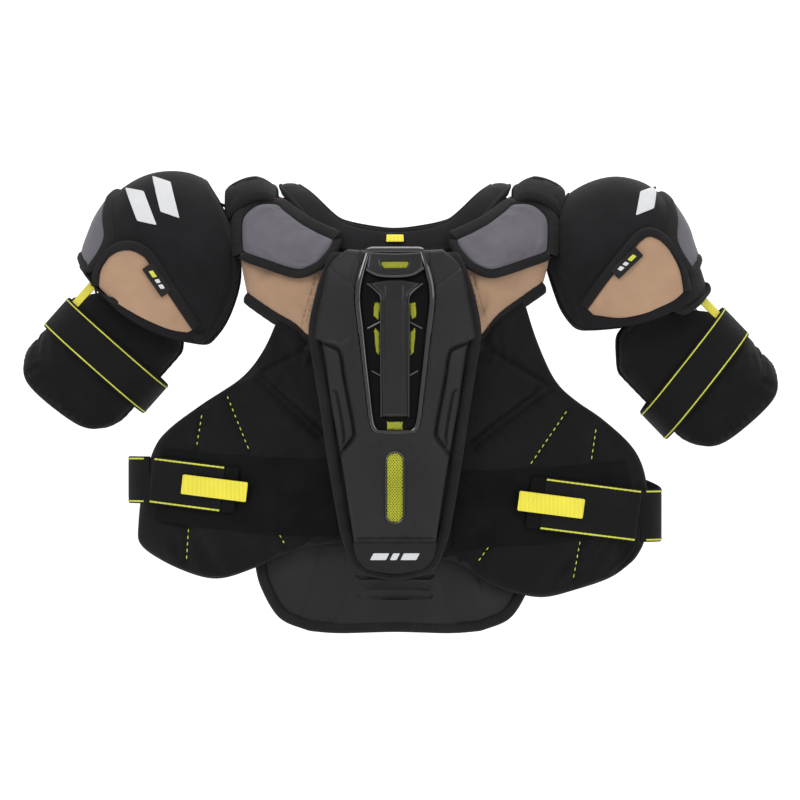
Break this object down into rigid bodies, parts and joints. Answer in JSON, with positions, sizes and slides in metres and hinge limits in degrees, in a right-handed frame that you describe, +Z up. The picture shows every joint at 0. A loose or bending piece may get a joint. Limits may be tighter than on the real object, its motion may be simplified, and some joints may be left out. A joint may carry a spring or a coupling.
{
  "type": "ice hockey shoulder pads",
  "caption": "Padded upper-body harness for ice hockey: chest and back halves, domed shoulder caps, upper arm guards, sternum plate and wrap straps.",
  "frame": {"origin": "midway between the shoulders at the height of the shoulder line, where the wearer's shoulders carry the pads", "axes": "+Z up, the chest faces -Y, +X towards the wearer's left"},
  "size_m": [0.8059, 0.3127, 0.4883],
  "materials": {
    "black_fabric": "black brushed knit over foam",
    "elastic": "black woven elastic",
    "gloss_plastic": "glossy black plastic",
    "grey_fabric": "grey knit fabric",
    "hard_plastic": "satin charcoal plastic",
    "label": "black printed label, blank",
    "lime_mesh": "lime open mesh over black",
    "loop_pile": "black loop pile",
    "moulded_foam": "charcoal moulded foam, fine grain",
    "tan_fabric": "tan brushed fabric",
    "yellow_webbing": "yellow woven webbing"
  },
  "bodies": {
    "back": {"back_panel": "black_fabric", "back_yoke_right": "black_fabric", "back_yoke_left": "black_fabric", "scapula_pad_right": "grey_fabric", "scapula_pad_left": "grey_fabric", "spine_pad": "black_fabric", "spine_plate": "moulded_foam", "collar_back": "black_fabric", "arch_pad_right": "black_fabric", "arch_pad_left": "black_fabric", "rear_strap_right": "elastic", "rear_strap_left": "elastic"},
    "chest": {"chest_panel_right": "black_fabric", "chest_panel_left": "black_fabric", "upper_chest_pad": "black_fabric", "loop_band_right": "loop_pile", "loop_band_left": "loop_pile", "yoke_right": "tan_fabric", "yoke_left": "tan_fabric", "collar_front": "black_fabric", "collar_tag": "yellow_webbing"},
    "sternum": {"sternum_carrier": "black_fabric", "sternum_plate": "moulded_foam", "sternum_insert": "gloss_plastic", "sternum_bar": "hard_plastic", "sternum_vent_right": "lime_mesh", "sternum_vent_left": "lime_mesh", "sternum_slot_mesh": "lime_mesh"},
    "belly": {"belly_pad": "moulded_foam"},
    "kidney": {"kidney_pad": "black_fabric"},
    "clavicle_right": {"clavicle_pad_right": "grey_fabric"},
    "strap_right": {"chest_strap_right": "elastic", "hook_tab_right": "loop_pile", "pull_tab_right": "yellow_webbing"},
    "cap_right": {"cap_cover_right": "black_fabric", "cap_shell_right": "hard_plastic", "cap_front_panel_right": "tan_fabric", "cap_side_panel_right": "grey_fabric", "cap_tag_right": "label"},
    "length_right": {"length_tab_right": "yellow_webbing"},
    "arm_right": {"arm_guard_right": "black_fabric", "arm_plate_right": "hard_plastic", "arm_strap_right": "elastic"},
    "arm_tab_right": {"arm_strap_tab_right": "yellow_webbing"},
    "clavicle_left": {"clavicle_pad_left": "grey_fabric"},
    "strap_left": {"chest_strap_left": "elastic", "hook_tab_left": "loop_pile", "pull_tab_left": "yellow_webbing"},
    "cap_left": {"cap_cover_left": "black_fabric", "cap_shell_left": "hard_plastic", "cap_front_panel_left": "tan_fabric", "cap_side_panel_left": "grey_fabric", "cap_tag_left": "label"},
    "length_left": {"length_tab_left": "yellow_webbing"},
    "arm_left": {"arm_guard_left": "black_fabric", "arm_plate_left": "hard_plastic", "arm_strap_left": "elastic"},
    "arm_tab_left": {"arm_strap_tab_left": "yellow_webbing"}
  },
  "joints": [
    {"name": "chest_hinge", "type": "hinge", "parent": "back", "child": "chest", "pos_m": [0, 0, 0.01], "axis": [-1, 0, 0], "range_deg": [-3, 8]},
    {"name": "sternum_hinge", "type": "hinge", "parent": "chest", "child": "sternum", "pos_m": [0, -0.13575, -0.034], "axis": [-1, 0, 0], "range_deg": [0, 30]},
    {"name": "belly_slide", "type": "slide", "parent": "chest", "child": "belly", "axis": [0, 0, -1], "range_m": [-0.01, 0.02]},
    {"name": "kidney_flap", "type": "hinge", "parent": "back", "child": "kidney", "pos_m": [0, 0.111, -0.337], "axis": [1, 0, 0], "range_deg": [0, 25]},
    {"name": "clavicle_fold_right", "type": "hinge", "parent": "chest", "child": "clavicle_right", "pos_m": [-0.07, -0.11513, -0.033], "axis": [-0.5587, 0.643, 0.5238], "range_deg": [0, 50]},
    {"name": "strap_peel_right", "type": "hinge", "parent": "chest", "child": "strap_right", "pos_m": [-0.258, -0.05061, -0.279], "axis": [0, 0, -1], "range_deg": [0, 95]},
    {"name": "cap_lift_right", "type": "hinge", "parent": "back", "child": "cap_right", "pos_m": [-0.179, 0, 0.044], "axis": [0, 1, 0], "range_deg": [-2, 50]},
    {"name": "length_slide_right", "type": "slide", "parent": "cap_right", "child": "length_right", "axis": [-0.3256, 0, -0.9455], "range_m": [0, 0.015]},
    {"name": "arm_swing_right", "type": "hinge", "parent": "length_right", "child": "arm_right", "pos_m": [-0.3233, 0, -0.0853], "axis": [0, 1, 0], "range_deg": [-15, 15]},
    {"name": "arm_strap_peel_right", "type": "hinge", "parent": "arm_right", "child": "arm_tab_right", "pos_m": [-0.31603, 0.07627, -0.1398], "axis": [0.6626, 0, 0.749], "range_deg": [0, 60]},
    {"name": "clavicle_fold_left", "type": "hinge", "parent": "chest", "child": "clavicle_left", "pos_m": [0.07, -0.11513, -0.033], "axis": [-0.5587, -0.643, -0.5238], "range_deg": [0, 50]},
    {"name": "strap_peel_left", "type": "hinge", "parent": "chest", "child": "strap_left", "pos_m": [0.258, -0.05061, -0.317], "axis": [0, 0, 1], "range_deg": [0, 95]},
    {"name": "cap_lift_left", "type": "hinge", "parent": "back", "child": "cap_left", "pos_m": [0.179, 0, 0.044], "axis": [0, -1, 0], "range_deg": [-2, 50]},
    {"name": "length_slide_left", "type": "slide", "parent": "cap_left", "child": "length_left", "axis": [0.3256, 0, -0.9455], "range_m": [0, 0.015]},
    {"name": "arm_swing_left", "type": "hinge", "parent": "length_left", "child": "arm_left", "pos_m": [0.3319, 0, -0.1037], "axis": [0, -1, 0], "range_deg": [-15, 15]},
    {"name": "arm_strap_peel_left", "type": "hinge", "parent": "arm_left", "child": "arm_tab_left", "pos_m": [0.326, 0.07627, -0.15742], "axis": [0.6947, 0, -0.7193], "range_deg": [0, 60]}
  ]
}
